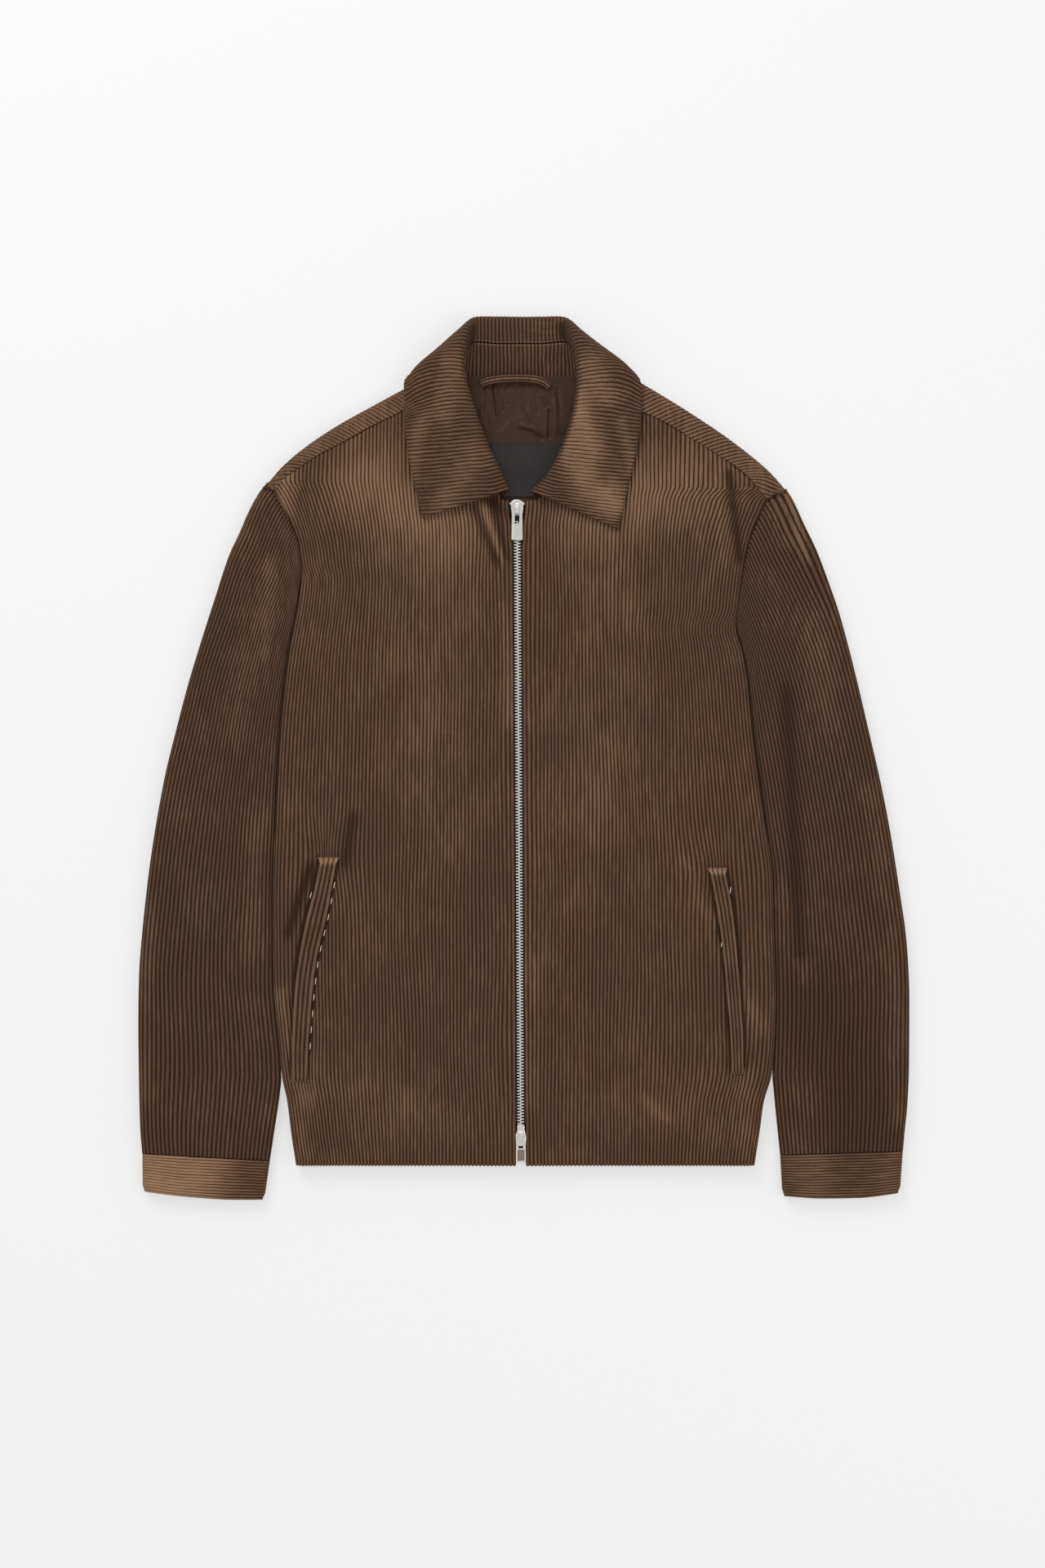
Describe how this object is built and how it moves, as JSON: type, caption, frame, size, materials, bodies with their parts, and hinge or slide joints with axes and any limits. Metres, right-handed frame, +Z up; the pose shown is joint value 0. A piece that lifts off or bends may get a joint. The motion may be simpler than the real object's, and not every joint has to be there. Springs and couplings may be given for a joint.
{
  "type": "corduroy jacket",
  "caption": "Lined zip-front corduroy jacket with a turned-down collar, slanted welt pockets and plain cuffs, laid flat on its back.",
  "frame": {"origin": "middle of the jacket's box, on the surface it lies on", "axes": "+X towards the wearer's left sleeve, +Y from the hem to the collar, +Z up out of the jacket's front"},
  "size_m": [0.6668, 0.7635, 0.0342],
  "materials": {
    "corduroy_front_right": "brown wide-wale cotton corduroy, napped ribs along the length",
    "corduroy_front_left": "brown wide-wale cotton corduroy, napped ribs along the length",
    "corduroy_back": "brown wide-wale cotton corduroy, napped ribs along the length",
    "corduroy_sleeve_right": "brown wide-wale cotton corduroy, napped ribs along the sleeve",
    "corduroy_sleeve_left": "brown wide-wale cotton corduroy, napped ribs along the sleeve",
    "corduroy_cuff_right": "brown corduroy, ribs round the wrist",
    "corduroy_cuff_left": "brown corduroy, ribs round the wrist",
    "corduroy_collar_fall": "brown corduroy, ribs across each leaf",
    "corduroy_collar_stand": "brown corduroy, ribs up the stand",
    "corduroy_hanger": "a folded strip of the brown corduroy",
    "corduroy_welt_right": "brown corduroy, ribs along the welt",
    "corduroy_welt_left": "brown corduroy, ribs along the welt",
    "satin_lining": "dark brown quilted satin",
    "satin_label": "black woven satin, bare",
    "zip_tape_right": "dark brown woven cotton tape",
    "zip_tape_left": "dark brown woven cotton tape",
    "nickel_chain": "polished nickel teeth",
    "nickel_slider_top": "polished nickel, cast",
    "nickel_slider_bottom": "polished nickel, cast",
    "nickel_tab_top": "polished nickel, stamped",
    "nickel_tab_bottom": "polished nickel, stamped"
  },
  "bodies": {
    "jacket": {"front_right": "corduroy_front_right", "front_left": "corduroy_front_left", "back": "corduroy_back", "sleeve_right": "corduroy_sleeve_right", "sleeve_left": "corduroy_sleeve_left", "cuff_right": "corduroy_cuff_right", "cuff_left": "corduroy_cuff_left", "collar_fall": "corduroy_collar_fall", "collar_stand": "corduroy_collar_stand", "hanger_loop": "corduroy_hanger", "pocket_welt_right": "corduroy_welt_right", "pocket_welt_left": "corduroy_welt_left", "lining_back": "satin_lining", "label": "satin_label", "zip_tape_right": "zip_tape_right", "zip_tape_left": "zip_tape_left", "zip_chain": "nickel_chain", "slider_top": "nickel_slider_top", "slider_bottom": "nickel_slider_bottom"},
    "pull_tab_top": {"pull_tab_top": "nickel_tab_top"},
    "pull_tab_bottom": {"pull_tab_bottom": "nickel_tab_bottom"}
  },
  "joints": [
    {"name": "pull_tab_top_hinge", "type": "hinge", "parent": "jacket", "child": "pull_tab_top", "pos_m": [-0.0058, 0.21771, 0.015], "axis": [-1, 0, 0], "range_deg": [0, 150]},
    {"name": "pull_tab_bottom_hinge", "type": "hinge", "parent": "jacket", "child": "pull_tab_bottom", "pos_m": [-0.00257, -0.32729, 0.015], "axis": [-1, 0, 0], "range_deg": [0, 150]}
  ]
}
